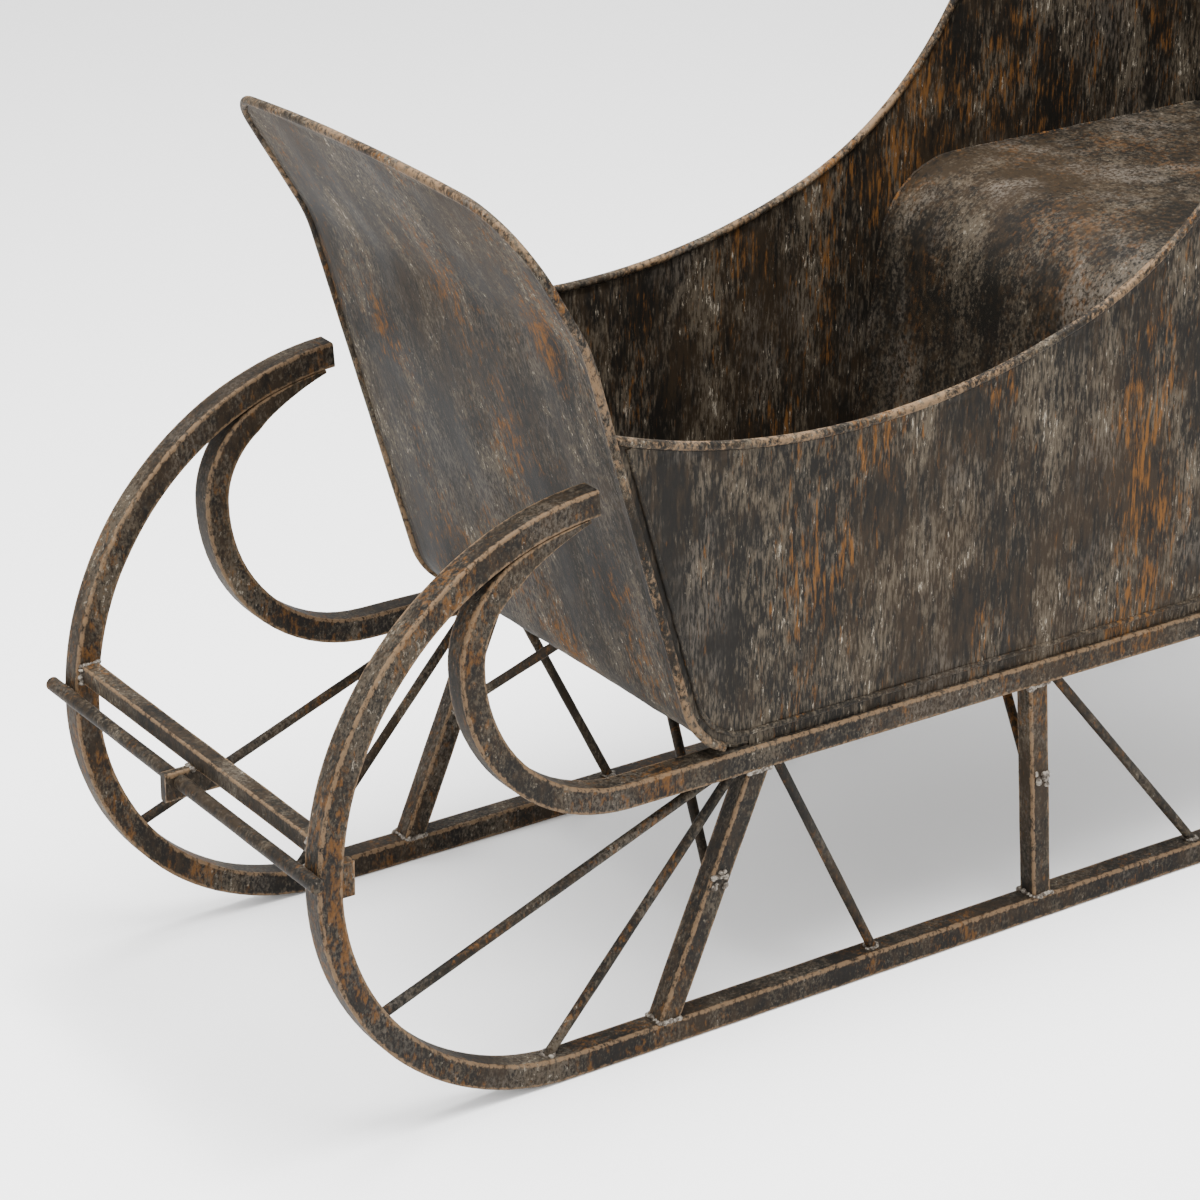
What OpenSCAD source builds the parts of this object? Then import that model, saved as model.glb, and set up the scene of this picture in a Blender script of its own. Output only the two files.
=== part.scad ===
// Horse drawn sleigh in dark forged iron: square bar runners with big front
// curls, body rails that end in a scroll, and a tub of sheet with rolled edges.
// Forward is +X, left is +Y, and the runners stand on z = 0.

/* [Overall] */
// Length from the back of the tub to the front of the hitch plate
length = 1600; // [1300:10:2000]
// Width over the two runners
width = 480; // [400:5:640]
// Height of the underside of the body rails above the ground
rail_height = 261; // [215:1:330]

/* [Bars and rods] */
// Side of the square bar of the runners and the body rails
bar = 25; // [20:0.5:32]
// Side of the square bar of the posts
post = 22; // [16:0.5:26]
// Diameter of the thin stay rods and knee braces
stay_d = 10; // [8:0.5:13]
// Side of the square crossbar between the runners
crossbar = 18; // [14:0.5:24]
// Diameter of the draw rod across the front of the runners
draw_rod_d = 14; // [10:0.5:20]

/* [Runner front] */
// Outer radius of the lower sweep of the runner
sweep_r = 268; // [220:1:300]
// Outer radius of the upper curl of the runner
curl_r = 313; // [260:1:340]
// Turn of the upper curl in degrees
curl_turn = 86; // [70:1:100]
// Distance from the runner's nose back to the scroll of the rail
scroll_back = 148; // [120:1:190]
// Outer radius of the lower sweep of the scroll
scroll_r = 180; // [150:1:200]
// Angle round the runner's curl where the scroll's tapered hook ends
scroll_turn = 84; // [76:1:86]

/* [Posts] */
// Distance from the nose back to the foot of the front post
front_post_foot = 375; // [340:1:420]
// How far the front post leans back from its foot to its top
front_post_lean = 98; // [60:1:130]
// Distance from the front post's foot to the middle post's foot
middle_post_step = 454; // [380:1:520]
// How far the middle and rear posts lean forward to their tops
post_lean = 19; // [0:1:40]
// Distance from the back of the tub to the foot of the rear post
rear_post_inset = 310; // [250:1:380]

/* [Tub] */
// Thickness of the body sheet
sheet = 2; // [1.5:0.1:3]
// Diameter of the rolled edges
rim_d = 9; // [6:0.5:12]
// Distance from the runner's nose back to the foot of the dash
dash_setback = 464; // [400:1:520]
// Middle radius of the bend between the floor and each end sheet
foot_bend_r = 76; // [50:1:100]
// Lean of the dash from upright
dash_lean = 16.7; // [8:0.1:24]
// Height at which the dash starts to flare
dash_flare_height = 690; // [650:1:760]
// Lean of the flared top of the dash
dash_flare = 31; // [20:0.5:36]
// Height of the top of the dash
dash_height = 850; // [780:1:900]
// Radius of the dash's left top corner
dash_left_corner = 78; // [40:1:96]
// Radius of the dash's right top corner
dash_right_corner = 36; // [20:1:96]
// Lean of the seat back from upright
back_lean = 12; // [6:0.1:18]
// Height at which the seat back starts to flare
back_flare_height = 946; // [850:1:1000]
// Lean of the flared top of the seat back
back_flare = 25; // [15:0.5:32]
// Height of the top of the seat back
back_height = 1060; // [1000:1:1150]
// Radius of the seat back's top corners
back_corner = 60; // [30:1:70]
// Radius of the crown along the top of both end sheets
crown_r = 2000; // [1200:10:4000]
// Height of the side's top edge where it meets the dash
side_front_height = 622; // [560:1:680]
// Height of the seat top
seat_height = 638; // [580:1:680]
// Distance from the tub's back to the foot of the seat front
seat_front = 640; // [560:1:700]
// Middle radius of the seat's rounded front edge
seat_edge_r = 95; // [60:1:120]

/* [Hidden] */
$fn = 96;
seat_gap = 0.2; // clearance where a curved piece is welded to its neighbour
rim_r = rim_d / 2;
half = width / 2;
front_x = length / 2;
rear_x = -length / 2;
inner_y = half - bar;
bar_y = half - bar / 2;
side_y = half - 7; // middle of the side sheet
rim_y = half - rim_r;
rail_top = rail_height + bar;
floor_z = rail_top + sheet / 2; // middle of the floor sheet

hitch_front = 15; // hitch plate in front of the draw rod's axis
draw_rod_x = front_x - hitch_front;
draw_rod_z = 284;
nose_x = draw_rod_x - draw_rod_d / 2;
sweep_x = nose_x - sweep_r;
curl_x = nose_x - curl_r;
tail_x = rear_x;
rail_tail_x = rear_x + 215;

scroll_x = nose_x - scroll_back;
scroll_low_x = scroll_x - scroll_r;
scroll_z = rail_height + scroll_r;
// The scroll's hook touches the inside of the runner's curl.
hook_in = curl_r - bar - seat_gap;
hook_dx = scroll_x - curl_x;
hook_dz = scroll_z - sweep_r;
hook_r = (hook_in * hook_in - hook_dx * hook_dx - hook_dz * hook_dz)
    / (2 * (hook_in - hook_dx));
hook_touch = atan2(hook_dz, hook_dx - hook_r); // from here on it follows the curl
hook_tip = 3; // thickness left at the hook's tapered end

front_foot_x = nose_x - front_post_foot;
middle_foot_x = front_foot_x - middle_post_step;
rear_foot_x = rear_x + rear_post_inset;
post_feet = [front_foot_x, middle_foot_x, rear_foot_x];
post_leans = [-front_post_lean, post_lean, post_lean];
front_top_x = front_foot_x - front_post_lean;
middle_top_x = middle_foot_x + post_lean;
rear_top_x = rear_foot_x + post_lean;

// Where the thin rods meet the bars: distances from the nose or from a post's top
toe_rod_back = 85;
toe_rod_z = 131;
toe_rod_step = 47; // from the front post's top forward to the toe rod's top
nose_rod_back = 244;
nose_rod_step = 23; // the same for the nose rod
stay_step = 27; // from a post's top back to the top of the stay behind it
front_stay_run = 122; // how far a stay's foot lies behind its own top
middle_stay_run = 200;
rear_stay_run = 180;

cross_gap = 7; // crossbar behind the nose's foremost point
cross_lift = 10; // underside of the crossbar above the draw rod's axis
plate = [57, 10, 28]; // hitch plate, which runs back under the crossbar
tab = [17, 12, 33];
tab_back = 41; // from the nose back to the tab's rear face
tab_z = 255;
brace_z = 157; // height of the knee brace's weld on the post
brace_top_y = 72;
brace_back = 51;

dash_foot_x = nose_x - dash_setback;
back_foot_x = rear_x + 275;
flare_r = 150; // radius of the bend at the start of each flare

// An end sheet: foot x, lean, flare height, flare, top height, left corner, right corner
dash_form = [dash_foot_x, dash_lean, dash_flare_height, dash_flare,
    dash_height - rim_r, dash_left_corner, dash_right_corner];
back_form = [-back_foot_x, back_lean, back_flare_height, back_flare,
    back_height - rim_r, back_corner, back_corner];

// The side's top edge starts at the back, runs down a little, drops and sags to the dash.
wing_z = 980;
wing_drop = 5;
wing_run = 268;
wing_r = 335;
drop_r = 390;
steepest = 59;
shallow = 21;

seat_lean = 6.8;
seat_foot_x = rear_x + seat_front;

// Height of the knee where an end sheet's foot bend ends
function knee_z(f) = floor_z + foot_bend_r * (1 - sin(f[1]));
// Length of the straight run of an end sheet below its flare
function lean_run(f) = (f[2] - knee_z(f)) / cos(f[1]);
// Length of the straight flare up to the top edge
function flare_run(f) = (f[4] - f[2] - flare_r * (sin(f[3]) - sin(f[1]))) / cos(f[3]);
// How far forward an end sheet's middle stands at height z below its flare
function lean_x(f, z) = f[0] + foot_bend_r * cos(f[1]) + (z - knee_z(f)) * tan(f[1]);
// Steps of an end sheet from its foot to its top edge
function sheet_steps(f) = [["bend", foot_bend_r, 90 - f[1]], ["go", lean_run(f)],
    ["bend", flare_r, f[1] - f[3]], ["go", flare_run(f)]];
// Angle that a top corner of radius r leaves to the crown, at half width w
function crown_part(r, w, big) = asin((w - r) / (big - r));
// Distance from the crown's top down to the centre of a corner
function corner_drop(r, w, big) = big - sqrt(pow(big - r, 2) - pow(w - r, 2));

// How many chords stand for a bend, so that none strays more than a tenth of a millimetre
function chords(step) = ceil(abs(step[2]) * sqrt(step[1]) / 51);
function normal(a) = [-sin(a), cos(a)];
// Points along a list of steps from p at heading a, moved by d to the left of the way
function trace(steps, p, a, d, i = 0) = i == len(steps) ? [p + d * normal(a)] :
    let (s = steps[i])
    s[0] == "go" ? concat([p + d * normal(a)],
        trace(steps, p + s[1] * [cos(a), sin(a)], a, d, i + 1)) :
    let (r = sign(s[2]) * s[1], n = chords(s), c = p + r * normal(a))
    concat([for (k = [0 : n - 1]) c + (d - r) * normal(a + s[2] * k / n)],
        trace(steps, c - r * normal(a + s[2]), a + s[2], d, i + 1));

// Moves to the end of one step of a bent piece: it heads upward and bends towards +X.
module past(step) {
    if (step[0] == "go") translate([0, 0, step[1]]) children();
    else translate([sign(step[2]) * step[1] * (1 - cos(step[2])), 0, step[1] * abs(sin(step[2]))])
        rotate([0, step[2], 0]) children();
}

// Moves past the first steps of a list
module walk(steps, count, i = 0) {
    if (i < count) past(steps[i]) walk(steps, count, i + 1) children();
    else children();
}

// Draws a section along a list of steps, each a go with its length or a bend
module bent(steps) {
    for (i = [0 : len(steps) - 1]) walk(steps, i) {
        s = steps[i];
        if (s[0] == "go") linear_extrude(s[1]) children();
        if (s[0] == "bend") rotate([0, 0, s[2] > 0 ? 0 : 180]) translate([s[1], 0, 0])
            rotate([90, 0, 180]) rotate_extrude(angle = abs(s[2]))
                translate([s[1], 0]) mirror([1, 0]) children();
    }
}

// Rings along a list of steps, each a point and the two directions across the way.
// A bend turns towards the first direction, a veer towards the second.
function rings(steps, p = [0, 0, 0], u = [1, 0, 0], v = [0, 1, 0], i = 0) =
    let (way = cross(u, v))
    i == len(steps) ? [[p, u, v]] :
    let (s = steps[i])
    s[0] == "go" ? concat([[p, u, v]], rings(steps, p + s[1] * way, u, v, i + 1)) :
    let (
        veers = s[0] == "veer",
        side = veers ? v : u,
        r = sign(s[2]) * s[1],
        n = s[0] == "skip" ? 0 : chords(s),
        at = function (t) p + r * (1 - cos(t)) * side + r * sin(t) * way,
        across = function (t) cos(t) * side - sin(t) * way,
        ring = function (t) [at(t), veers ? u : across(t), veers ? across(t) : v],
        last = ring(s[2])
    )
    concat([for (k = [0 : 1 : n - 1]) ring(s[2] * k / n)],
        rings(steps, last[0], last[1], last[2], i + 1));

// A round bar bent along a list of steps
module bent_wire(steps, r, sides = 12) {
    path = rings(steps);
    last = len(path) - 1;
    polyhedron(
        [for (q = path) for (k = [0 : sides - 1])
            q[0] + r * (cos(360 * k / sides) * q[1] + sin(360 * k / sides) * q[2])],
        concat([[for (k = [0 : sides - 1]) k], [for (k = [sides - 1 : -1 : 0]) last * sides + k]],
            [for (i = [0 : last - 1]) for (k = [0 : sides - 1]) let (m = (k + 1) % sides)
                [i * sides + m, i * sides + k, (i + 1) * sides + k, (i + 1) * sides + m]]));
}

// Turns a bent piece so that it starts from p, heads forward and up, and bends upward
module forward(p, climb = 0) {
    translate(p) rotate([0, -climb, 0]) rotate([180, 0, 0]) rotate([0, 90, 0]) children();
}

// A straight bar through two points, long enough to be trimmed at both ends
module through(a, b) {
    v = b - a;
    translate(a) rotate([0, acos(v[2] / norm(v)), atan2(v[1], v[0])])
        translate([0, 0, -40]) linear_extrude(norm(v) + 80) children();
}

// Keeps what lies between the runner's top and the rail's underside
module between_bars() {
    intersection() {
        children();
        translate([rear_x, -half, bar]) cube([length, width, rail_height - bar]);
    }
}

module runner(side) {
    color("#4a4038") forward([tail_x, side * bar_y, bar / 2])
        bent([["go", sweep_x - tail_x], ["bend", sweep_r - bar / 2, 90],
            ["bend", curl_r - bar / 2, curl_turn]])
            square(bar, center = true);
}

module body_rail(side) {
    color("#4d4239") {
        forward([rail_tail_x, side * bar_y, rail_height + bar / 2])
            bent([["go", scroll_low_x - rail_tail_x], ["bend", scroll_r - bar / 2, 90],
                ["bend", hook_r - bar / 2, hook_touch]])
                square(bar, center = true);
        hook_end(side);
    }
}

// Thin end of the scroll's hook, which tapers as it follows the inside of the runner's curl
module hook_end(side) {
    cuts = 8;
    at = function (k, depth) let (a = hook_touch + k / cuts * (scroll_turn - hook_touch))
        (hook_in - depth) * [cos(a), sin(a)];
    translate([curl_x, side * bar_y, sweep_r]) rotate([90, 0, 0])
        linear_extrude(bar, center = true) polygon(concat([for (k = [0 : cuts]) at(k, 0)],
            [for (k = [cuts : -1 : 0]) at(k, bar + (hook_tip - bar) * k / cuts)]));
}

module upright(side, i) {
    color("#463d35") between_bars()
        through([post_feet[i], side * bar_y, bar],
            [post_feet[i] + post_leans[i], side * bar_y, rail_height])
            square(post, center = true);
}

// Thin rod from behind a post's top, down and back to the runner
module stay(side, post_top_x, run) {
    top_x = post_top_x - stay_step;
    color("#5a5046") between_bars()
        through([top_x - run, side * bar_y, bar], [top_x, side * bar_y, rail_height])
            circle(d = stay_d);
}

// Keeps what lies inside the runner's lower sweep
module inside_sweep(side) {
    intersection() {
        children();
        translate([sweep_x, side * bar_y, sweep_r]) rotate([90, 0, 0])
            cylinder(r = sweep_r - bar - seat_gap, h = bar, center = true);
    }
}

// Long thin rod from the rail forward to the inside of the runner's sweep
module toe_rod(side) {
    color("#5a5046") inside_sweep(side) between_bars()
        through([nose_x - toe_rod_back, side * bar_y, toe_rod_z],
            [front_top_x + toe_rod_step, side * bar_y, rail_height]) circle(d = stay_d);
}

// Steeper thin rod from the rail forward to the start of the runner's sweep
module nose_rod(side) {
    color("#5a5046") inside_sweep(side) between_bars()
        through([nose_x - nose_rod_back, side * bar_y, bar],
            [front_top_x + nose_rod_step, side * bar_y, rail_height]) circle(d = stay_d);
}

// Knee brace from the middle of a post up to the floor, inward and back
module brace(side, i) {
    foot_x = post_feet[i] + post_leans[i] * (brace_z - bar) / (rail_height - bar);
    post_side = bar_y - post / 2;
    color("#5a5046") intersection() {
        through([foot_x, side * post_side, brace_z],
            [foot_x - brace_back, side * brace_top_y, rail_top]) circle(d = stay_d);
        translate([rear_x, side > 0 ? 0 : -post_side, 0]) cube([length, post_side, rail_top]);
    }
}

module crossbar() {
    color("#4a4038") translate([nose_x - crossbar - cross_gap, -inner_y, draw_rod_z + cross_lift])
        cube([crossbar, 2 * inner_y, crossbar]);
}

module draw_rod() {
    color("#554a40") translate([draw_rod_x, 0, draw_rod_z]) rotate([90, 0, 0])
        cylinder(d = draw_rod_d, h = width + 20, center = true);
}

module hitch_plate() {
    color("#6b6259") difference() {
        translate([front_x - plate[0], -plate[1] / 2, draw_rod_z + cross_lift - plate[2]])
            cube(plate);
        translate([draw_rod_x, 0, draw_rod_z]) rotate([90, 0, 0])
            cylinder(d = draw_rod_d, h = 2 * plate[1], center = true);
    }
}

// Small tab on the inside of the left runner's nose
module runner_tab() {
    color("#6b6259") inside_sweep(1)
        translate([nose_x - tab_back, bar_y - tab[1] / 2, tab_z]) cube(tab);
}

module floor_sheet() {
    color("#3a332d") translate([back_foot_x, sheet / 2 - side_y, rail_top])
        cube([dash_foot_x - back_foot_x, 2 * side_y - sheet, sheet]);
}

// Bends over the top of an end sheet, from its left side to its right, turning by a sign
function top_bends(f, turn) = let (
        left = crown_part(f[5], rim_y, crown_r),
        right = crown_part(f[6], rim_y, crown_r)
    )
    [["veer", f[5], turn * (90 - left)], ["veer", crown_r, turn * (left + right)],
        ["veer", f[6], turn * (90 - right)]];

// Crowned outline of an end sheet, seen along the normal of its flare, inside its rolled edge
module top_outline(f, inset) {
    rise = function (r) length - corner_drop(r, rim_y, crown_r);
    polygon(trace(concat([["go", rise(f[5])]], top_bends(f, -1), [["go", rise(f[6])]]),
        [-rim_y, -length], 90, -inset));
}

// Sheet of a given width that follows steps from a foot point at a heading
module bent_sheet(steps, foot, heading, across) {
    inner = trace(steps, foot, heading, sheet / 2);
    outer = trace(steps, foot, heading, -sheet / 2);
    n = len(inner);
    rotate([90, 0, 0]) linear_extrude(across, center = true)
        polygon(concat(outer, [for (i = [1 : n]) inner[n - i]]));
}

// Sheet that bends up from the floor, leans out and flares to its rounded top
module end_sheet(f) {
    steps = sheet_steps(f);
    intersection() {
        bent_sheet(steps, [f[0], floor_z], 0, width);
        forward([f[0], 0, floor_z]) walk(steps, len(steps)) rotate([90, 0, 90])
            linear_extrude(length, center = true) top_outline(f, rim_r + seat_gap);
    }
}

// Rolled edge of an end sheet: up the left side, over the top and down the right
module end_rim(f) {
    low = acos(1 - (rim_r + 1 + sheet / 2) / foot_bend_r);
    forward([f[0], rim_y, floor_z])
        bent_wire(concat([["skip", foot_bend_r, low], ["bend", foot_bend_r, 90 - f[1] - low],
            ["go", lean_run(f)], ["bend", flare_r, f[1] - f[3]],
            ["go", flare_run(f) - corner_drop(f[5], rim_y, crown_r)]],
            top_bends(f, 1),
            [["go", flare_run(f) - corner_drop(f[6], rim_y, crown_r)],
            ["bend", flare_r, f[1] - f[3]], ["go", lean_run(f)],
            ["bend", foot_bend_r, 90 - f[1] - low]]), rim_r);
}

module dash() { color("#3f3831") end_sheet(dash_form); }
module dash_rim() { color("#6a5238") end_rim(dash_form); }
module seat_back() { color("#3f3831") mirror([1, 0, 0]) end_sheet(back_form); }
module seat_back_rim() { color("#6a5238") mirror([1, 0, 0]) end_rim(back_form); }

// Inside of the tub seen from its left, a clearance d from the end sheets' middles
module tub_outline(d) {
    front = trace(sheet_steps(dash_form), [dash_form[0], floor_z], 0, d);
    back = trace(sheet_steps(back_form), [back_form[0], floor_z], 0, d);
    n = len(back);
    polygon(concat(front, [for (i = [1 : n]) [-back[n - i][0], back[n - i][1]]]));
    translate([back_foot_x, rail_top]) square([dash_foot_x - back_foot_x, 2 * d]);
}

// Steps of the side's top edge from the seat back to the dash
function edge_start() = [rear_x, wing_z];
function edge_head() = [["go", wing_run], ["bend", wing_r, wing_drop - steepest],
    ["bend", drop_r, steepest - shallow]];
function edge_low() = edge_start() + wing_run * [cos(wing_drop), -sin(wing_drop)]
    + wing_r * [sin(steepest) - sin(wing_drop), cos(steepest) - cos(wing_drop)]
    + drop_r * [sin(steepest) - sin(shallow), cos(steepest) - cos(shallow)];
// The sag leaves the drop smoothly and ends at the dash.
function edge_end() = [lean_x(dash_form, side_front_height), side_front_height];
function sag_turn() = let (v = edge_end() - edge_low()) 2 * (shallow + atan2(v[1], v[0]));
function edge_steps() = concat(edge_head(),
    [["bend", norm(edge_end() - edge_low()) / (2 * sin(sag_turn() / 2)), sag_turn()]]);

module side_sheet(side) {
    inset = rim_r + seat_gap;
    color("#3f3831") translate([0, side * side_y, 0]) rotate([90, 0, 0])
        linear_extrude(sheet, center = true) intersection() {
            tub_outline(inset);
            polygon(concat(trace(edge_steps(), edge_start(), -wing_drop, -inset),
                [[front_x, side_front_height], [front_x, 0], [rear_x, 0]]));
        }
}

module side_rim(side) {
    color("#6a5238") intersection() {
        forward([edge_start()[0], side * side_y, edge_start()[1]], -wing_drop)
            bent_wire(edge_steps(), rim_r);
        translate([0, side * side_y, 0]) rotate([90, 0, 0])
            linear_extrude(3 * rim_d, center = true) tub_outline(rim_r + seat_gap);
    }
}

// Sheet seat: its front leans back from the floor and rounds over to the flat top.
// Its back corners are notched for the rolled edge of the seat back.
module seat() {
    top = seat_height - sheet / 2;
    notch = rim_r + seat_gap;
    foot = rail_top + sheet + seat_gap;
    rise = (top - foot - seat_edge_r * (1 - sin(seat_lean))) / cos(seat_lean);
    edge_x = seat_foot_x - rise * sin(seat_lean) - seat_edge_r * cos(seat_lean);
    back_x = -lean_x(back_form, top);
    depth = edge_x - back_x - sheet;
    color("#57514a") difference() {
        bent_sheet([["go", rise], ["bend", seat_edge_r, 90 - seat_lean], ["go", depth]],
            [seat_foot_x, foot], 90 + seat_lean, 2 * side_y - sheet);
        for (side = [-1, 1]) translate([back_x, side * rim_y, seat_height])
            cube([2 * (notch + sheet), 2 * notch, 4 * sheet], center = true);
    }
}

runner(1);  // left_runner
runner(-1);  // right_runner
body_rail(1);  // left_body_rail
body_rail(-1);  // right_body_rail
upright(1, 0);  // left_front_post
upright(1, 1);  // left_middle_post
upright(1, 2);  // left_rear_post
upright(-1, 0);  // right_front_post
upright(-1, 1);  // right_middle_post
upright(-1, 2);  // right_rear_post
toe_rod(1);  // left_toe_rod
toe_rod(-1);  // right_toe_rod
nose_rod(1);  // left_nose_rod
nose_rod(-1);  // right_nose_rod
stay(1, front_top_x, front_stay_run);  // left_front_stay
stay(-1, front_top_x, front_stay_run);  // right_front_stay
stay(1, middle_top_x, middle_stay_run);  // left_middle_stay
stay(-1, middle_top_x, middle_stay_run);  // right_middle_stay
stay(1, rear_top_x, rear_stay_run);  // left_rear_stay
stay(-1, rear_top_x, rear_stay_run);  // right_rear_stay
brace(1, 0);  // left_front_brace
brace(1, 1);  // left_middle_brace
brace(1, 2);  // left_rear_brace
brace(-1, 0);  // right_front_brace
brace(-1, 1);  // right_middle_brace
brace(-1, 2);  // right_rear_brace
crossbar();
draw_rod();
hitch_plate();
runner_tab();
floor_sheet();
dash();
dash_rim();
seat_back();
seat_back_rim();
side_sheet(1);  // left_side
side_sheet(-1);  // right_side
side_rim(1);  // left_side_rim
side_rim(-1);  // right_side_rim
seat();
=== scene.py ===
import math
import random

import bmesh
import bpy
from mathutils import Matrix, Vector, noise
from mathutils.bvhtree import BVHTree
from mathutils.kdtree import KDTree


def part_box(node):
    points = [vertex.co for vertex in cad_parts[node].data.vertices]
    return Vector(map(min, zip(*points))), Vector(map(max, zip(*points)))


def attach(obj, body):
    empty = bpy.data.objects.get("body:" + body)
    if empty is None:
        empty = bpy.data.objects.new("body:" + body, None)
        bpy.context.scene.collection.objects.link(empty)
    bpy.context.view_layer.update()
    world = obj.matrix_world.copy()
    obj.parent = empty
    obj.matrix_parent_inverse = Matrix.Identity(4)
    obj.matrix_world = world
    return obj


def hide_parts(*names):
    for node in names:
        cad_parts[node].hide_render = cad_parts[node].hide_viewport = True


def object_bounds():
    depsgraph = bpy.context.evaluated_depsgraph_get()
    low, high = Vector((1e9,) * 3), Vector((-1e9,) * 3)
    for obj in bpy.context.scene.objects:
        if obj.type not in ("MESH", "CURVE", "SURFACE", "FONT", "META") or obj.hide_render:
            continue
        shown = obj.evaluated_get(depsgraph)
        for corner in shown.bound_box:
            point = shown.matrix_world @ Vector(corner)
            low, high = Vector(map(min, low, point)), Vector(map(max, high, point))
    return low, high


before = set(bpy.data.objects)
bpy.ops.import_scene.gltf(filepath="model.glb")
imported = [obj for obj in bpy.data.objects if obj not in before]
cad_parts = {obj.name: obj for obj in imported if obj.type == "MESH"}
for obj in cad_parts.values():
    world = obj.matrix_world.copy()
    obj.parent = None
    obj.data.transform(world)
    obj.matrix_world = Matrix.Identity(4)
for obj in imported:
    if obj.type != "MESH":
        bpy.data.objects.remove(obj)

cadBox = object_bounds()
dice = random.Random(7)

# Lengths are in metres and turns in degrees; forward is +X and the left side is +Y.

runnerShape = {
    "bar": 0.025,       # side of the square bar
    "arris": 0.0022,    # how far its edges are rounded
    "middle": 0.2275,   # from the centre line to the middle of a runner
    "tail": -0.8,
    "nose": 0.778,
    "sweep": 0.268,     # outer radius of the lower sweep
    "curl": 0.313,      # outer radius of the upper curl
    "curlTurn": 86,
}

railShape = {
    "bar": 0.025,
    "arris": 0.0022,
    "underside": 0.261,
    "tail": -0.585,
    "scrollFront": 0.630,
    "scroll": 0.180,
    "hookEnd": 84,      # where its thin end stops, round the curl
    "hookTip": 0.003,
    "gap": 0.0002,
}

postShape = {
    "bar": 0.022,
    "spare": 0.03,      # length cut off again level with the bars
    "arris": 0.002,
    "feet": {"front": 0.403, "middle": -0.051, "rear": -0.490},
    "lean": {"front": -0.098, "middle": 0.019, "rear": 0.019},
}

rodShape = {
    "thick": 0.010,
    "sides": 20,
    "sink": 0.003,      # how far a rod's ends go into the bars
    "toe": ((0.7115, 0.1242), (0.352, 0.261)),
    "nose": ((0.534, 0.026), (0.328, 0.261)),
    "frontStay": ((0.156, 0.025), (0.278, 0.261)),
    "middleStay": ((-0.259, 0.025), (-0.059, 0.261)),
    "rearStay": ((-0.678, 0.025), (-0.498, 0.261)),
    "braceHeight": 0.157,
    "braceTop": 0.072,
    "braceBack": 0.051,
    "braceCeiling": 0.286,
    "braceStart": 0.008,    # from the middle of the post
    "braceSpare": 0.010,
}

frontShape = {
    "crossbar": 0.018,
    "crossbarAt": (0.762, 0.303),
    "drawRod": 0.014,
    "drawRodAt": (0.785, 0.284),
    "drawRodReach": 0.250,
    "plate": (0.057, 0.010, 0.028),
    "plateAt": (0.7715, 0.280),
    "crossbarArris": 0.0016,
    "plateArris": 0.0022,
    "tabArris": 0.0018,
    "drawRodSides": 28,
}

sheetShape = {
    "spacing": 0.009,   # distance between the cuts that let a panel dent
    "dashDent": 0.0022,
    "sideDent": 0.0016,
    "backDent": 0.0018,
    "floorDent": 0.0010,
    "seatDent": 0.0014,
}

seamShape = {
    "radius": 0.0026,
    "face": 0.2345,     # from the centre line to the seam's middle
    "cells": 60,
    "lump": 0.0007,
    "inset": 0.0135,    # from the middles of the floor and the end sheets
    "floor": 0.287,
    "footBend": 0.076,
    "dash": (0.314, 16.7, 0.606),   # foot, lean and the seam's top
    "back": (-0.525, 12, 0.925),
}

seatSeam = {
    "radius": 0.0022,
    "lean": 6.8,
    "edge": 0.095,
    "sheet": 0.002,
    "stop": 0.03,       # how far short of the seat back it ends
    "sink": 0.001,
    "cells": 110,
    "lump": 0.0009,
}

waveShape = {        # how far the forged surfaces wander
    "cells": 22,
    "bar": 0.0004,
    "rod": 0.0003,
    "plate": 0.0008,
    "rim": 0.0002,
}

weldShape = {
    "spatter": 0.022,   # how far from a bead the iron is marked
    "wideSpatter": 0.045,
    "tabSpatter": 0.040,
    "lump": 0.0034,
    "spread": 0.0012,
    "step": 0.0036,
    "braceRing": 0.006,
    "rodRing": 0.0055,
    "blob": (0.008, 0.009),
    "drawRodLine": (0.0125, 0.003),
    "plateRing": (0.0055, 0.0100),
}


def hookArc():  # outer radius of the scroll's upper hook, and where it meets the runner's curl
    reach = runnerShape["curl"] - runnerShape["bar"] - railShape["gap"]
    ahead = railShape["scrollFront"] - (runnerShape["nose"] - runnerShape["curl"])
    rise = railShape["underside"] + railShape["scroll"] - runnerShape["sweep"]
    radius = (reach ** 2 - ahead ** 2 - rise ** 2) / (2 * (reach - ahead))
    return radius, math.degrees(math.atan2(rise, ahead - radius))


hookRadius, hookTouch = hookArc()
print("frame loaded:", len(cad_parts), "nodes")


class Value:
    def __init__(self, tree, socket):
        self.tree, self.socket = tree, socket

    def calc(self, operation, first, second):
        node = self.tree.nodes.new("ShaderNodeMath")
        node.operation = operation
        for slot, value in zip(node.inputs, (first, second)):
            if isinstance(value, Value):
                self.tree.links.new(value.socket, slot)
            else:
                slot.default_value = value
        return Value(self.tree, node.outputs[0])

    def __add__(self, other): return self.calc("ADD", self, other)
    def __radd__(self, other): return self.calc("ADD", other, self)
    def __sub__(self, other): return self.calc("SUBTRACT", self, other)
    def __rsub__(self, other): return self.calc("SUBTRACT", other, self)
    def __mul__(self, other): return self.calc("MULTIPLY", self, other)
    def __rmul__(self, other): return self.calc("MULTIPLY", other, self)


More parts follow.
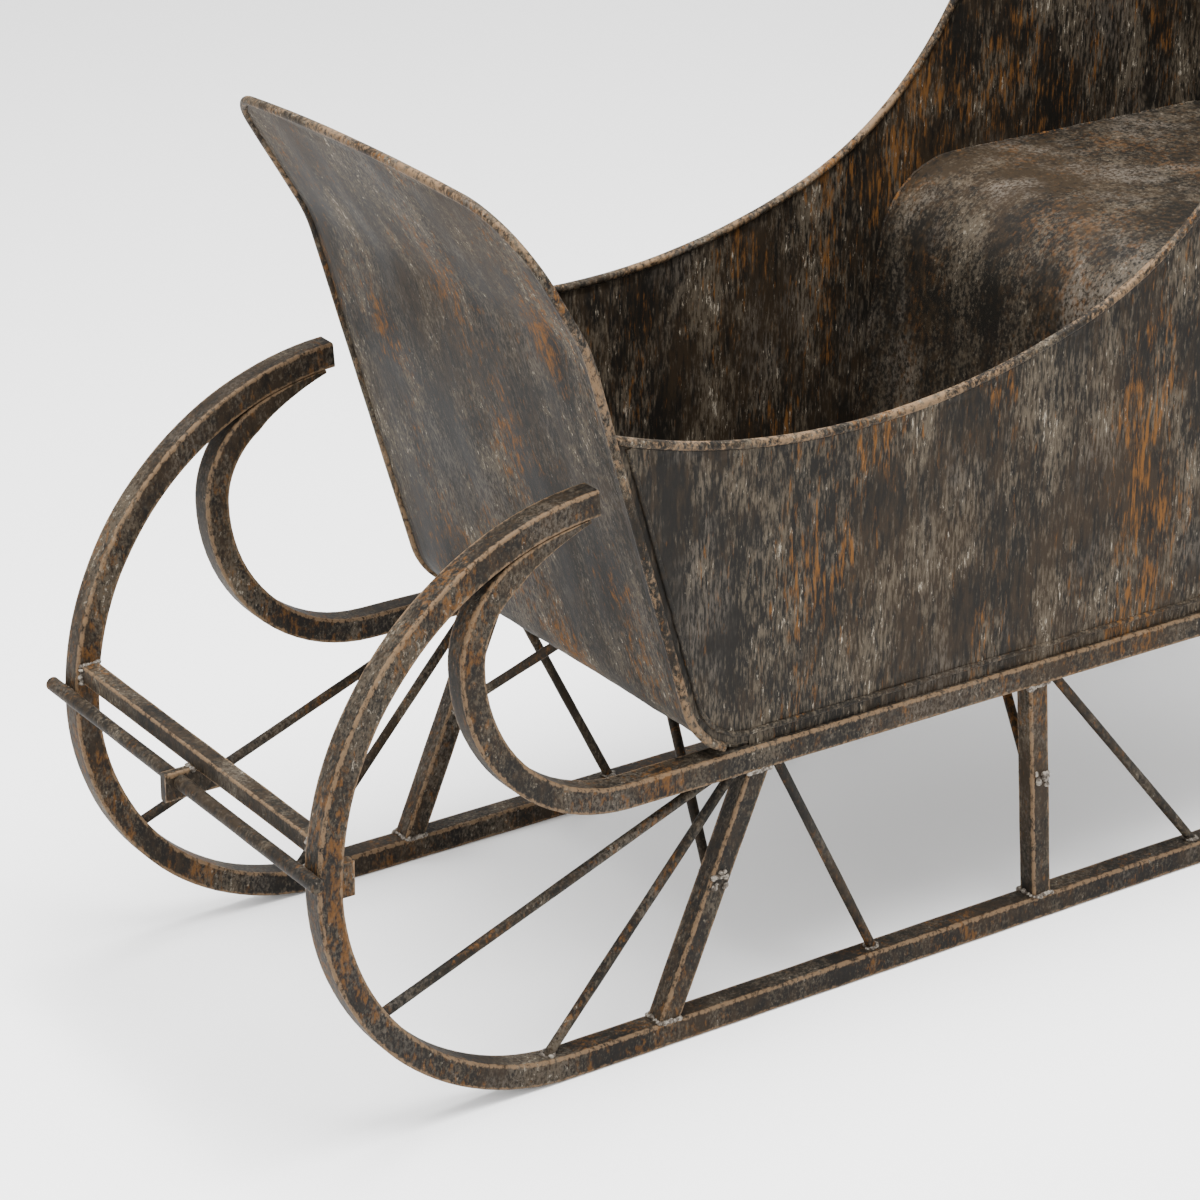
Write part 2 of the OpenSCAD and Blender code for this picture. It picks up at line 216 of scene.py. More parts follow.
class Finish:
    def __init__(self, name):
        self.material = bpy.data.materials.new(name)
        self.material.use_nodes = True
        self.tree = self.material.node_tree
        self.shader = self.tree.nodes["Principled BSDF"]
        self.place = self.make("TexCoord", out="Object")

    def make(self, kind, settings=None, values=None, out=0):
        node = self.tree.nodes.new("ShaderNode" + kind)
        for name, value in (settings or {}).items():
            setattr(node, name, value)
        for name, value in (values or {}).items():
            if isinstance(value, Value):
                self.tree.links.new(value.socket, node.inputs[name])
            else:
                node.inputs[name].default_value = value
        return Value(self.tree, node.outputs[out])

    def cloud(self, scale, detail=3.0, roughness=0.55, shift=(0, 0, 0)):  # cells per metre along X, Y and Z
        spot = self.make("Mapping", None, {"Vector": self.place, "Scale": scale, "Location": shift})
        return self.make("TexNoise", None,
                         {"Vector": spot, "Scale": 1.0, "Detail": detail, "Roughness": roughness})

    def band(self, value, low, high):
        return self.make("MapRange", {"interpolation_type": "SMOOTHSTEP"},
                         {"Value": value, "From Min": low, "From Max": high})

    def own(self, name):  # a number kept on the piece's own points
        return self.make("Attribute", {"attribute_name": name}, None, out="Fac")

    def blend(self, factor, first, second):
        node = self.tree.nodes.new("ShaderNodeMix")
        node.data_type = "RGBA"
        for slot, value in ((node.inputs[0], factor), (node.inputs[6], first), (node.inputs[7], second)):
            if isinstance(value, Value):
                self.tree.links.new(value.socket, slot)
            else:
                slot.default_value = (*value, 1) if isinstance(value, tuple) else value
        return Value(self.tree, node.outputs[2])

    def feed(self, name, value):
        self.tree.links.new(value.socket, self.shader.inputs[name])


ironLook = {
    "dark": (0.0062, 0.0054, 0.0043),
    "brown": (0.0175, 0.0118, 0.0068),
    "scratch": (0.0700, 0.0560, 0.0390),
    "rust": (0.1050, 0.0460, 0.0120),
    "grey": (0.0640, 0.0540, 0.0430),
    "fleck": (0.2600, 0.2250, 0.1750),
    "worn": (0.1300, 0.0830, 0.0460),
    "weld": (0.3600, 0.3300, 0.2850),
    "metallic": 0.05,
    "sheen": 0.09,      # how strongly the iron mirrors the room
}


def ironFinish(name, cells, scratch, fleck, rust, worn, grey, depth):  # cells: the scratches' fineness
    look = Finish(name)
    coarse = tuple(c * 0.42 for c in cells)
    patches = look.cloud((6, 6, 4), 5.0, 0.62)
    streaks = look.cloud(coarse, 5.0, 0.68, (1.3, 0.2, 4.0))
    ground = look.band(patches * 0.5 + streaks * 0.5, 0.44, 0.58)
    colour = look.blend(ground, ironLook["dark"], ironLook["brown"])
    scratches = look.cloud(cells, 4.0, 0.72, (2.6, 0.8, 1.5))
    fleckPatch = look.cloud((16, 16, 7), 5.0, 0.7, (5.0, 3.0, 6.0))
    scratchMask = look.band(scratches * 0.80 + fleckPatch * 0.80, 0.77, 0.98) * scratch
    colour = look.blend(scratchMask, colour, ironLook["scratch"])
    greyPatch = look.cloud((9, 9, 5), 5.0, 0.68, (3.1, 1.7, 0.4))
    greyMask = look.band(greyPatch, 0.50, 0.68) * look.band(scratches, 0.40, 0.60) * grey
    colour = look.blend(greyMask, colour, ironLook["grey"])
    rustPatch = look.cloud((9, 9, 4), 4.0, 0.6, (7.7, 2.1, 0.9))
    rustStreaks = look.cloud((cells[0] * 0.6, cells[1] * 0.6, cells[2] * 0.45), 5.0, 0.7, (6.0, 1.1, 2.2))
    rustMask = look.band(rustStreaks + rustPatch * 0.8, 0.96, 1.14) * rust
    colour = look.blend(rustMask, colour, ironLook["rust"])
    flecks = look.cloud(tuple(c * 0.8 for c in cells), 6.0, 0.78, (2.0, 9.0, 1.0))
    fleckMask = look.band(flecks + fleckPatch * 0.50, 0.87, 0.96) * fleck
    colour = look.blend(fleckMask, colour, ironLook["fleck"])
    chips = look.cloud((210, 210, 130), 5.0, 0.75, (0.5, 0.5, 8.0))
    wearMask = look.band(look.own("wear") * 0.50 + chips, 0.87, 1.03) * worn
    colour = look.blend(wearMask, colour, ironLook["worn"])
    spatter = look.cloud((330, 330, 330), 5.0, 0.72, (4.0, 4.0, 4.0))
    heatMask = look.band(look.own("heat") * 0.50 + spatter, 0.80, 0.90)
    colour = look.blend(heatMask, colour, ironLook["weld"])
    look.feed("Base Color", colour)
    look.shader.inputs["Metallic"].default_value = ironLook["metallic"]
    look.shader.inputs["Specular IOR Level"].default_value = ironLook["sheen"]
    look.feed("Roughness", 0.56 + patches * 0.12 + rustMask * 0.18 + scratchMask * 0.10)
    hem = look.band(look.own("hem"), 0.0, 1.0)
    relief = scratches * 0.7 + fleckMask * 0.5 + heatMask * 0.9 - hem * 2.6
    look.feed("Normal", look.make("Bump", None, {"Strength": 0.5, "Distance": depth, "Height": relief}))
    return look.material


barIron = ironFinish("worn_bar_iron", (330, 330, 190), 0.60, 0.50, 0.62, 0.70, 0.55, 0.0006)
sheetIron = ironFinish("streaked_sheet_iron", (380, 380, 70), 0.85, 0.90, 0.90, 0.65, 0.80, 0.0006)
rimIron = ironFinish("worn_rolled_edge", (330, 330, 190), 0.85, 0.75, 0.95, 0.85, 0.90, 0.0006)
seatIron = ironFinish("rubbed_seat_iron", (260, 260, 180), 0.50, 0.25, 0.25, 0.40, 1.00, 0.0003)


def weldFinish():
    look = Finish("weld_metal")
    mottle = look.cloud((240, 240, 240), 4.0, 0.65)
    colour = look.blend(look.band(mottle, 0.42, 0.62), (0.040, 0.030, 0.021), (0.190, 0.168, 0.138))
    look.feed("Base Color", colour)
    look.shader.inputs["Metallic"].default_value = 0.4
    look.feed("Roughness", 0.42 + mottle * 0.25)
    look.feed("Normal", look.make("Bump", None, {"Strength": 0.6, "Distance": 0.0006, "Height": mottle}))
    return look.material


weldMetal = weldFinish()
print("finishes made")

weldSpots = []   # not used; the beads' places are kept in welds further down, so that the iron around them can be spattered


def keep(bm, name, finish, nodes, wave=0.0, smooth=35):
    low, high = cadBox
    for vert in bm.verts:
        if wave:
            vert.co += vert.normal * noise.noise(vert.co * waveShape["cells"]) * wave
        vert.co = [min(max(c, a), b) for c, a, b in zip(vert.co, low, high)]
    mesh = bpy.data.meshes.new(name)
    bm.normal_update()
    bm.to_mesh(mesh)
    bm.free()
    mesh.shade_smooth()
    mesh.set_sharp_from_angle(angle=math.radians(smooth))
    mesh.materials.append(finish)
    piece = bpy.data.objects.new(name, mesh)
    bpy.context.scene.collection.objects.link(piece)
    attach(piece, "root")
    if nodes:
        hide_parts(*nodes)
    return piece


def squareRing(bm, wide, high, arris):  # a section in the YZ plane with its wear layer
    wear = bm.verts.layers.float.get("wear") or bm.verts.layers.float.new("wear")
    made = bmesh.ops.create_circle(bm, cap_ends=True, segments=4, radius=math.sqrt(0.5),
                                   matrix=Matrix.Rotation(math.pi / 4, 4, "Z"))["verts"]
    bmesh.ops.scale(bm, verts=made, vec=(high, wide, 1))
    bmesh.ops.rotate(bm, verts=made, cent=(0, 0, 0), matrix=Matrix.Rotation(math.pi / 2, 3, "Y"))
    bmesh.ops.bevel(bm, geom=list(made), affect="VERTICES", offset=arris, offset_type="OFFSET",
                    segments=3, profile=0.5, material=-1)
    for vert in bm.verts:
        vert[wear] = 1.0
    flats = [edge for edge in bm.edges if edge.calc_length() > 2 * arris]
    cut = bmesh.ops.subdivide_edges(bm, edges=flats, cuts=3)["geom_inner"]
    for vert in cut:
        if isinstance(vert, bmesh.types.BMVert):
            vert[wear] = 0.0
    bmesh.ops.delete(bm, geom=list(bm.faces), context="FACES_ONLY")
    return list(bm.edges)


def roundRing(bm, radius, sides):
    wear = bm.verts.layers.float.get("wear") or bm.verts.layers.float.new("wear")
    made = bmesh.ops.create_circle(bm, cap_ends=False, segments=sides, radius=radius)["verts"]
    bmesh.ops.rotate(bm, verts=made, cent=(0, 0, 0), matrix=Matrix.Rotation(math.pi / 2, 3, "Y"))
    for vert in made:
        vert[wear] = 0.35
    return list(bm.edges)


def sweepAlong(bm, ring, steps, spacing=0.014):  # from the origin, heading +X and bending towards +Z
    at, turned = Vector((0, 0, 0)), 0.0
    for kind, size, turn in steps:
        if kind == "go":
            count = max(1, round(size / spacing))
            step = Vector((math.cos(turned), 0, math.sin(turned))) * size / count
            for _ in range(count):
                made = bmesh.ops.extrude_edge_only(bm, edges=ring)["geom"]
                verts = [part for part in made if isinstance(part, bmesh.types.BMVert)]
                bmesh.ops.translate(bm, vec=step, verts=verts)
                fresh = set(verts)
                ring = [part for part in made if isinstance(part, bmesh.types.BMEdge)
                        and set(part.verts) <= fresh]
            at += step * count
        else:
            side, angle = math.copysign(1, turn), math.radians(turn)
            centre = at + Vector((-math.sin(turned), 0, math.cos(turned))) * size * side
            count = max(2, math.ceil(abs(angle) * size / spacing), math.ceil(abs(turn) / 5))
            made = bmesh.ops.spin(bm, geom=ring, cent=centre, axis=(0, -side, 0), angle=abs(angle),
                                  steps=count, use_duplicate=False, use_merge=False)["geom_last"]
            ring = [part for part in made if isinstance(part, bmesh.types.BMEdge)]
            turned += angle
            at = centre - Vector((-math.sin(turned), 0, math.cos(turned))) * size * side


def close(bm):
    bmesh.ops.remove_doubles(bm, verts=bm.verts, dist=1e-6)
    edges = [edge for edge in bm.edges if edge.is_boundary]
    bmesh.ops.holes_fill(bm, edges=edges, sides=0)
    bmesh.ops.recalc_face_normals(bm, faces=bm.faces)


def bentBar(shape, start, steps):
    bm = bmesh.new()
    ring = squareRing(bm, shape["bar"], shape["bar"], shape["arris"])
    sweepAlong(bm, ring, steps)
    bmesh.ops.translate(bm, vec=start, verts=bm.verts)
    close(bm)
    return bm


def thinHook(bm, y, hugging):  # forges the hook's end thin, flat against the runner's curl
    centre = Vector((runnerShape["nose"] - runnerShape["curl"], y, runnerShape["sweep"]))
    first, last = hookTouch - 4, railShape["hookEnd"]
    for vert in bm.verts:
        arm = vert.co - centre
        if arm.z < 0 or arm.length > hugging + 0.002 or vert.co.x < centre.x:
            continue
        part = (math.degrees(math.atan2(arm.z, arm.x)) - first) / (last - first)
        if part > 0:
            reach = math.hypot(arm.x, arm.z)
            depth = (hugging - reach) * (1 - min(part, 1) * (1 - railShape["hookTip"] / railShape["bar"]))
            scale = (hugging - depth) / reach
            vert.co = centre + Vector((arm.x * scale, arm.y, arm.z * scale))


def straightBar(ringMaker, start, end, extra=0.0, cuts=()):
    bm = bmesh.new()
    ring = ringMaker(bm)
    way = Vector(end) - Vector(start)
    sweepAlong(bm, ring, [("go", way.length + 2 * extra, 0)])
    turn = Vector((1, 0, 0)).rotation_difference(way) if abs(way.normalized().y) > 1e-6 else None
    matrix = turn.to_matrix() if turn else Matrix.Rotation(-math.atan2(way.z, way.x), 3, "Y")
    bmesh.ops.translate(bm, vec=(-extra, 0, 0), verts=bm.verts)
    bmesh.ops.rotate(bm, verts=bm.verts, cent=(0, 0, 0), matrix=matrix)
    bmesh.ops.translate(bm, vec=start, verts=bm.verts)
    for place, outward in cuts:
        bmesh.ops.bisect_plane(bm, geom=list(bm.verts) + list(bm.edges) + list(bm.faces), dist=1e-7,
                               plane_co=place, plane_no=outward, clear_outer=True)
    close(bm)
    return bm


def spatterAround(bm, reach=weldShape["spatter"]):  # marks the iron near a bead
    heat = bm.verts.layers.float.get("heat") or bm.verts.layers.float.new("heat")
    for vert in bm.verts:
        gap = spotTree.find(vert.co)[2]
        vert[heat] = max(0.0, 1 - gap / reach)


def keepBar(bm, name, node, wave, reach=weldShape["spatter"]):
    spatterAround(bm, reach)
    keep(bm, name, barIron, [node], wave)


def braceMiddle(name):  # where a knee brace meets its post, along X
    ground, rail = runnerShape["bar"], railShape["underside"]
    part = (rodShape["braceHeight"] - ground) / (rail - ground)
    return postShape["feet"][name] + part * postShape["lean"][name]


def stations():  # every place where two bars are welded, with the bead's ring
    spots = []
    up, down, ahead = Vector((0, 0, 1)), Vector((0, 0, -1)), Vector((1, 0, 0))
    low, high = runnerShape["bar"], railShape["underside"]
    half = postShape["bar"] / 2
    braceRing, rodRing = weldShape["braceRing"], weldShape["rodRing"]
    barX, barZ = frontShape["crossbarAt"]
    barHalf = frontShape["crossbar"] / 2
    for side in (1, -1):
        y = side * runnerShape["middle"]
        inward, outward = Vector((0, -side, 0)), Vector((0, side, 0))
        for name, foot in postShape["feet"].items():
            top, middle = foot + postShape["lean"][name], braceMiddle(name)
            height, back = rodShape["braceHeight"], braceMiddle(name) - rodShape["braceBack"]
            spots += [
                (Vector((foot, y, low)), up, half, half, "square"),
                (Vector((top, y, high)), down, half, half, "square"),
                (Vector((middle, y - side * half, height)), inward, braceRing, braceRing, "round"),
                (Vector((middle, y + side * half * 0.9, height)), outward, *weldShape["blob"], "blob"),
                (Vector((back, side * rodShape["braceTop"], rodShape["braceCeiling"])), down,
                 braceRing, braceRing, "round"),
            ]
        for name in ("nose", "frontStay", "middleStay", "rearStay", "toe"):
            for (x, z), out in zip(rodShape[name], (up, down)):
                spots.append((Vector((x, y, z)), out, rodRing, rodRing, "round"))
        innerFace = side * (runnerShape["middle"] - runnerShape["bar"] / 2)
        spots.append((Vector((barX, innerFace, barZ)), inward, barHalf, barHalf, "square"))
        spots.append((Vector((runnerShape["nose"], y, frontShape["drawRodAt"][1])), ahead,
                      *weldShape["drawRodLine"], "line"))
    spots.append((Vector((barX, 0, barZ - barHalf)), down, *weldShape["plateRing"], "square"))
    return spots


welds = stations()
spotTree = KDTree(len(welds))
for index, (place, _, _, _, _) in enumerate(welds):
    spotTree.insert(place, index)
spotTree.balance()

for side, word in ((1, "left"), (-1, "right")):
    y = side * runnerShape["middle"]
    half = runnerShape["bar"] / 2
    sweepX = runnerShape["nose"] - runnerShape["sweep"]
    runner = bentBar(runnerShape, (runnerShape["tail"], y, half), [
        ("go", sweepX - runnerShape["tail"], 0),
        ("bend", runnerShape["sweep"] - half, 90),
        ("bend", runnerShape["curl"] - half, runnerShape["curlTurn"])])
    keepBar(runner, word + "_runner_bar", word + "_runner", waveShape["bar"])
    lowX = railShape["scrollFront"] - railShape["scroll"]
    hugging = runnerShape["curl"] - runnerShape["bar"] - railShape["gap"]
    rail = bentBar(railShape, (railShape["tail"], y, railShape["underside"] + half), [
        ("go", lowX - railShape["tail"], 0),
        ("bend", railShape["scroll"] - half, 90),
        ("bend", hookRadius - half, hookTouch),
        ("bend", hugging - half, railShape["hookEnd"] - hookTouch)])
    thinHook(rail, y, hugging)
    keepBar(rail, word + "_rail_bar", word + "_body_rail", waveShape["bar"])

    for name, foot in postShape["feet"].items():
        top = foot + postShape["lean"][name]
        low, high = runnerShape["bar"], railShape["underside"]
        post = straightBar(lambda bm: squareRing(bm, postShape["bar"], postShape["bar"], postShape["arris"]),
                           (foot, y, low), (top, y, high), postShape["spare"],
                           (((0, 0, low), (0, 0, -1)), ((0, 0, high), (0, 0, 1))))
        keepBar(post, f"{word}_{name}_post_bar", f"{word}_{name}_post", waveShape["bar"])
        middle = braceMiddle(name)
        brace = straightBar(lambda bm: roundRing(bm, rodShape["thick"] / 2, rodShape["sides"]),
                            (middle, y - side * rodShape["braceStart"], rodShape["braceHeight"]),
                            (middle - rodShape["braceBack"], side * rodShape["braceTop"],
                             rodShape["braceCeiling"]), rodShape["braceSpare"],
                            (((0, 0, rodShape["braceCeiling"]), (0, 0, 1)),))
        keepBar(brace, f"{word}_{name}_brace_rod", f"{word}_{name}_brace", waveShape["rod"])

    for name, node in (("toe", "toe_rod"), ("nose", "nose_rod"), ("frontStay", "front_stay"),
                       ("middleStay", "middle_stay"), ("rearStay", "rear_stay")):
        low, high = rodShape[name]
        rod = straightBar(lambda bm: roundRing(bm, rodShape["thick"] / 2, rodShape["sides"]),
                          (low[0], y, low[1]), (high[0], y, high[1]), rodShape["sink"])
        keepBar(rod, f"{word}_{node}_iron", f"{word}_{node}", waveShape["rod"])

x, z = frontShape["crossbarAt"]
innerFace = runnerShape["middle"] - runnerShape["bar"] / 2
crossbar = straightBar(lambda bm: squareRing(bm, frontShape["crossbar"], frontShape["crossbar"],
                                             frontShape["crossbarArris"]),
                       (x, -innerFace, z), (x, innerFace, z))
keepBar(crossbar, "crossbar_iron", "crossbar", waveShape["bar"], weldShape["wideSpatter"])
x, z = frontShape["drawRodAt"]
reach = frontShape["drawRodReach"]
drawRod = straightBar(lambda bm: roundRing(bm, frontShape["drawRod"] / 2, frontShape["drawRodSides"]),
                      (x, -reach, z), (x, reach, z))
keepBar(drawRod, "draw_rod_iron", "draw_rod", waveShape["rod"])
long, wide, high = frontShape["plate"]
x, z = frontShape["plateAt"]
plate = straightBar(lambda bm: squareRing(bm, wide, high, frontShape["plateArris"]),
                    (x - long / 2, 0, z), (x + long / 2, 0, z))
keepBar(plate, "hitch_plate_iron", "hitch_plate", waveShape["plate"], weldShape["wideSpatter"])
low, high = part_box("runner_tab")
middle = (low + high) / 2
tab = straightBar(lambda bm: squareRing(bm, high.y - low.y, high.x - low.x, frontShape["tabArris"]),
                  (middle.x, middle.y, low.z), (middle.x, middle.y, high.z))
keepBar(tab, "runner_tab_iron", "runner_tab", waveShape["bar"], weldShape["tabSpatter"])
print("bars and rods made")


def kneeHeight(foot):
    return seamShape["floor"] + seamShape["footBend"] * (1 - math.sin(math.radians(foot[1])))


def seamTop(foot):  # upper end of the seam beside the seat back
    lean = math.radians(foot[1])
    out = seamShape["footBend"] * math.cos(lean) + (foot[2] - kneeHeight(foot)) * math.tan(lean)
    inward = seamShape["inset"]
    return Vector((foot[0] - out + inward * math.cos(lean), 0, foot[2] + inward * math.sin(lean)))


seamRadius = seamShape["footBend"] - seamShape["inset"]
for side, word in ((1, "left"), (-1, "right")):
    bm = bmesh.new()
    ring = roundRing(bm, seamShape["radius"], 10)
    dashFoot, backFoot = seamShape["dash"], seamShape["back"]
    steps = [("go", (backFoot[2] - kneeHeight(backFoot)) / math.cos(math.radians(backFoot[1])), 0),
             ("bend", seamRadius, 90 - backFoot[1]),
             ("go", dashFoot[0] - backFoot[0], 0),
             ("bend", seamRadius, 90 - dashFoot[1]),
             ("go", (dashFoot[2] - kneeHeight(dashFoot)) / math.cos(math.radians(dashFoot[1])), 0)]
    sweepAlong(bm, ring, steps, 0.008)
    dive = -math.radians(90 - backFoot[1])  # the seam starts at the back and runs down, along and up
    bmesh.ops.rotate(bm, verts=bm.verts, cent=(0, 0, 0), matrix=Matrix.Rotation(-dive, 3, "Y"))
    backTop = seamTop(backFoot)
    bmesh.ops.translate(bm, vec=(backTop.x, side * seamShape["face"], backTop.z), verts=bm.verts)
    for vert in bm.verts:
        lump = noise.noise(vert.co * seamShape["cells"]) * seamShape["lump"]
        vert.co += Vector((lump, 0, lump))
    close(bm)
    spatterAround(bm)
    keep(bm, word + "_side_seam", rimIron, [], 0.0, 60)

low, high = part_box("seat")
lean = math.radians(seatSeam["lean"])
topZ = high.z - seatSeam["sheet"] / 2
rise = (topZ - low.z - seatSeam["edge"] * (1 - math.sin(lean))) / math.cos(lean)
run = high.x - rise * math.sin(lean) - seatSeam["edge"] * math.cos(lean) - low.x - seatSeam["stop"]
for side, word in ((1, "left"), (-1, "right")):  # the welded line up the seat's front and along its top
    bm = bmesh.new()
    ring = roundRing(bm, seatSeam["radius"], 8)
    steps = [("go", rise, 0), ("bend", seatSeam["edge"], 90 - seatSeam["lean"]), ("go", run, 0)]
    sweepAlong(bm, ring, steps, 0.006)
    bmesh.ops.rotate(bm, verts=bm.verts, cent=(0, 0, 0), matrix=Matrix.Rotation(-math.pi / 2 - lean, 3, "Y"))
    bmesh.ops.translate(bm, vec=(high.x, side * (high.y - seatSeam["sink"]), low.z), verts=bm.verts)
    for vert in bm.verts:
        vert.co += Vector((1, side * 0.5, 1)) * noise.noise(vert.co * seatSeam["cells"]) * seatSeam["lump"]
    close(bm)
    spatterAround(bm)
    keep(bm, word + "_seat_weld_line", rimIron, [], 0.0, 60)
print("seams made")


def panelCopy(node):  # the CAD sheet, merged and with its flat edges dissolved; panel() then cuts it finely enough to dent
    bm = bmesh.new()
    bm.from_mesh(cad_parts[node].data)
    bmesh.ops.remove_doubles(bm, verts=bm.verts, dist=1e-5)
    bmesh.ops.dissolve_limit(bm, angle_limit=math.radians(0.4), verts=bm.verts, edges=bm.edges)
    return bm


def sliceAcross(bm, low, high, axis):
    way = Vector([1.0 if i == axis else 0.0 for i in range(3)])
    count = int((high[axis] - low[axis]) / sheetShape["spacing"])
    for k in range(1, count):
        at = low.copy()
        at[axis] = low[axis] + (high[axis] - low[axis]) * k / count
        bmesh.ops.bisect_plane(bm, geom=list(bm.verts) + list(bm.edges) + list(bm.faces),
                               dist=1e-6, plane_co=at, plane_no=way)


def rimTrees(nodes):
    trees = []
    for node in nodes:
        bm = bmesh.new()
        bm.from_mesh(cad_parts[node].data)
        trees.append(BVHTree.FromBMesh(bm))
        bm.free()
    return trees


def panel(node, name, finish, axes, push, depth, stretch, rims, fade=0.03):
    bm = panelCopy(node)
    low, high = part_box(node)
    for axis in axes:
        sliceAcross(bm, low, high, axis)
    wear = bm.verts.layers.float.new("wear")
    hem = bm.verts.layers.float.new("hem")
    trees = rimTrees(rims)
    for vert in bm.verts:
        gaps = [tree.find_nearest(vert.co)[3] for tree in trees] or [1.0]
        gap = min(gaps)
        vert[wear] = max(0.0, 0.55 - gap / 0.05)
        vert[hem] = max(0.0, 1 - abs(gap - 0.007) / 0.005)
        soft = min(1.0, gap / fade)
        spot = Vector([vert.co[i] * stretch[i] for i in range(3)])
        dent = noise.noise(spot) + 0.35 * noise.noise(spot * 2.7 + Vector((5, 5, 5)))
        vert.co += Vector(push) * dent * depth * soft
    return keep(bm, name, finish, [node], 0.0, 30)


shape = sheetShape
panel("dash", "dash_panel", sheetIron, (1, 2), (1, 0, 0), shape["dashDent"],
      (0, 17, 4), ["dash_rim", "left_side_rim", "right_side_rim"])
panel("seat_back", "seat_back_panel", sheetIron, (1, 2), (1, 0, 0), shape["backDent"],
      (0, 12, 4), ["seat_back_rim", "left_side_rim", "right_side_rim"])
for side, word in ((1, "left"), (-1, "right")):
    panel(word + "_side", word + "_side_panel", sheetIron, (0, 2), (0, 1, 0),
          shape["sideDent"], (9, 0, 7), [word + "_side_rim", "dash_rim", "seat_back_rim"])
panel("floor_sheet", "floor_panel", sheetIron, (0, 1), (0, 0, 1), shape["floorDent"],
      (8, 8, 0), [])
panel("seat", "seat_panel", seatIron, (0, 1), (0, 0, 1), shape["seatDent"],
      (9, 9, 0), ["left_side", "right_side"])
print("panels made")

for node, name in (("dash_rim", "dash_rolled_edge"), ("seat_back_rim", "seat_back_rolled_edge"),
                   ("left_side_rim", "left_side_rolled_edge"), ("right_side_rim", "right_side_rolled_edge")):
    rim = bmesh.new()
    rim.from_mesh(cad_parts[node].data)
    bmesh.ops.remove_doubles(rim, verts=rim.verts, dist=1e-5)
    bmesh.ops.dissolve_limit(rim, angle_limit=math.radians(0.4), verts=rim.verts, edges=rim.edges)
    low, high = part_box(node)
    for axis in (0, 2):
        sliceAcross(rim, low, high, axis)
    wear = rim.verts.layers.float.new("wear")
    for vert in rim.verts:
        vert[wear] = 0.80 + 0.40 * noise.noise(vert.co * 14)
    keep(rim, name, rimIron, [node], waveShape["rim"], 60)
print("rolled edges made")


def bead(bm, place, out, half, other, form):  # a ring or line of small lumps round a joint
    side = Vector((0, 1, 0)) if abs(out.y) < 0.5 else Vector((1, 0, 0))
    across = out.cross(side).normalized()
    lapLength = 2 * math.pi * max(half, other) if form == "round" else 8 * half
    count = max(7, int(lapLength / weldShape["step"]))
    for k in range(count):
        t = k / count
        if form == "line":
            spot = place + side * (2 * t - 1) * half
        elif form == "blob":
            spot = place + side * dice.uniform(-half, half) + across * dice.uniform(-other, other)
        elif form == "round":
            spot = place + (side * math.cos(t * math.tau) + across * math.sin(t * math.tau)) * half
        else:
            a = t * 4
            edge, along = int(a), (a - int(a)) * 2 - 1
            u, v = ((along, -1), (1, along), (-along, 1), (-1, -along))[edge]
            spot = place + side * u * half + across * v * other
        spot = spot + out * dice.uniform(0, 0.0012)
        size = weldShape["lump"] * dice.uniform(0.65, 1.15)
        spot += Vector([dice.uniform(-1, 1) * weldShape["spread"] * 0.5 for _ in range(3)])
        squash = Matrix.Diagonal((dice.uniform(0.8, 1.2), dice.uniform(0.8, 1.2),
                                  dice.uniform(0.6, 0.9), 1))
        bmesh.ops.create_icosphere(bm, subdivisions=2, radius=size,
                                   matrix=Matrix.Translation(spot) @ squash)


beads = bmesh.new()
for place, out, half, other, form in welds:
    bead(beads, place, out, half, other, form)
keep(beads, "weld_beads", weldMetal, [], 0.0, 60)
print("welds made")

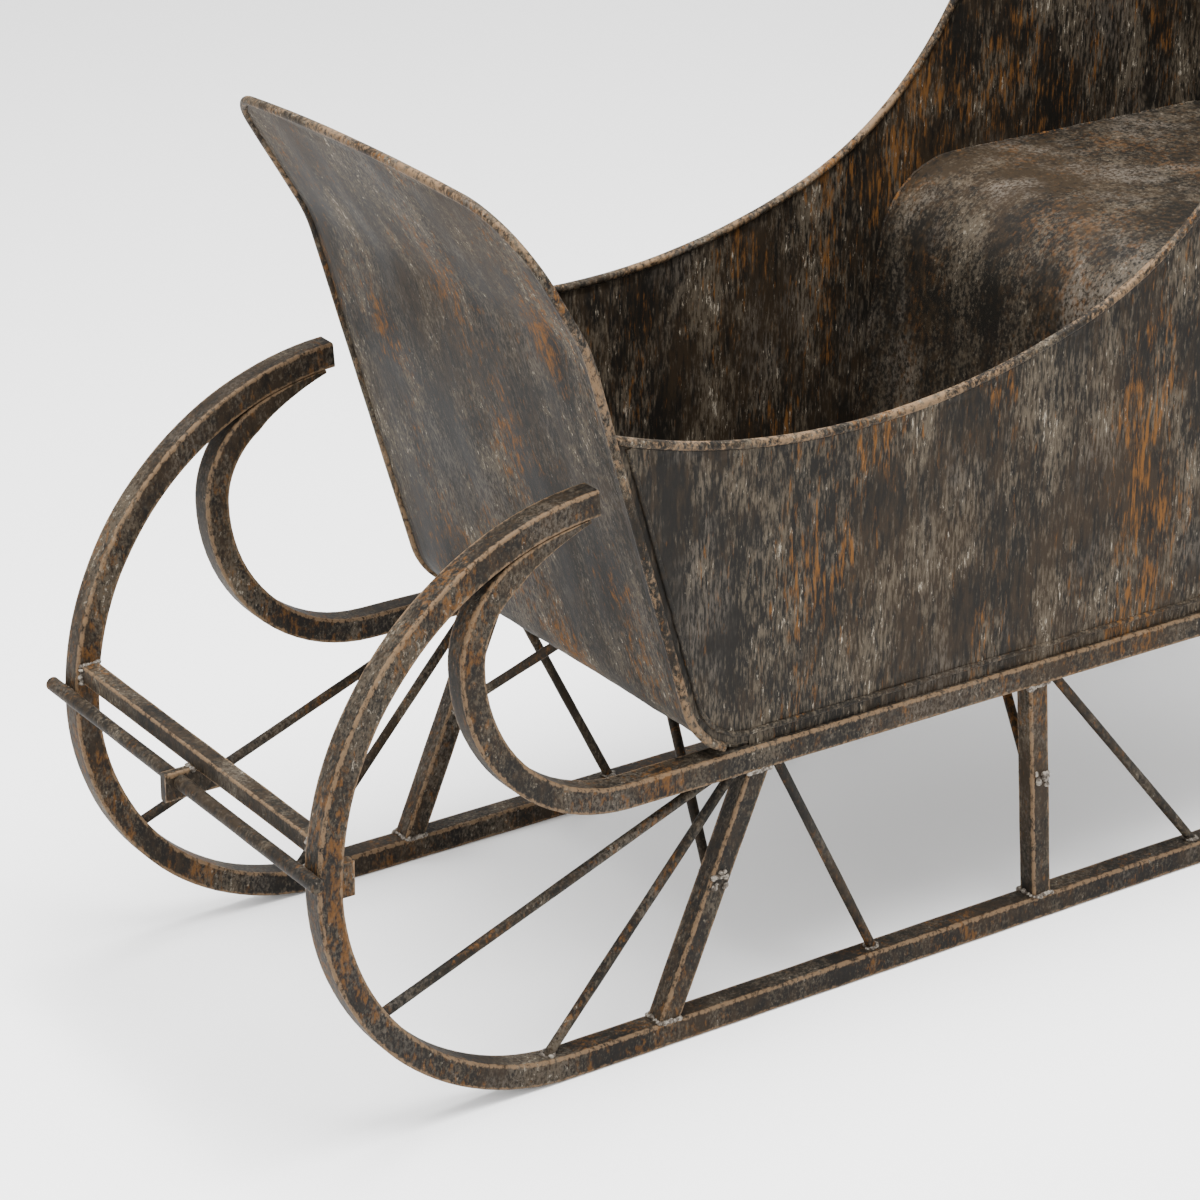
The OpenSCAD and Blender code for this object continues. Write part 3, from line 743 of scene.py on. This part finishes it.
floor = bmesh.new()
bmesh.ops.create_grid(floor, x_segments=1, y_segments=1, size=14)
floorMesh = bpy.data.meshes.new("studio_floor")
floor.to_mesh(floorMesh)
floor.free()
floorLook = bpy.data.materials.new("pale_floor")
floorLook.use_nodes = True
floorLook.node_tree.nodes["Principled BSDF"].inputs["Base Color"].default_value = (0.95, 0.95, 0.95, 1)
floorLook.node_tree.nodes["Principled BSDF"].inputs["Roughness"].default_value = 0.7
floorMesh.materials.append(floorLook)
floorPiece = bpy.data.objects.new("studio_floor", floorMesh)
floorPiece.location.z = -0.0005
bpy.context.scene.collection.objects.link(floorPiece)

lightPlan = {
    "sky": 1.6,
    "lamps": [  # place, size, watts
        ((0.4, 0.3, 3.4), 2.4, 420),
        ((3.2, 0.8, 2.0), 2.0, 30),
        ((-1.2, 3.4, 1.6), 2.0, 22),
    ],
}
world = bpy.data.worlds.new("soft_room")
bpy.context.scene.world = world
world.use_nodes = True
world.node_tree.nodes["Background"].inputs["Color"].default_value = (1, 1, 1, 1)
world.node_tree.nodes["Background"].inputs["Strength"].default_value = lightPlan["sky"]
for number, (place, size, watts) in enumerate(lightPlan["lamps"]):
    lamp = bpy.data.lights.new(f"soft_lamp_{number}", "AREA")
    lamp.energy, lamp.size = watts, size
    holder = bpy.data.objects.new(lamp.name, lamp)
    holder.location = place
    holder.rotation_euler = (Vector((0, 0, 0.4)) - Vector(place)).to_track_quat("-Z", "Y").to_euler()
    bpy.context.scene.collection.objects.link(holder)

cameraPlan = {
    "place": (2.231, 2.804, 1.827),
    "heading": 34.24,
    "pitch": 23.53,
    "roll": 0.23,
    "lens": 115.38,
}
heading, pitch, roll = (math.radians(cameraPlan[k]) for k in ("heading", "pitch", "roll"))
ahead = Vector((-math.sin(heading) * math.cos(pitch), -math.cos(heading) * math.cos(pitch), -math.sin(pitch)))
flat = Vector((-math.cos(heading), math.sin(heading), 0))
lift = flat.cross(ahead)
across = flat * math.cos(roll) + lift * math.sin(roll)
above = lift * math.cos(roll) - flat * math.sin(roll)
camera = bpy.data.objects.new("camera", bpy.data.cameras.new("camera"))
camera.data.lens = cameraPlan["lens"]
camera.data.sensor_width = 36
facing = Matrix((across, above, -ahead)).transposed().to_4x4()
camera.matrix_world = Matrix.Translation(cameraPlan["place"]) @ facing
bpy.context.scene.collection.objects.link(camera)
bpy.context.scene.camera = camera
print("stage set")
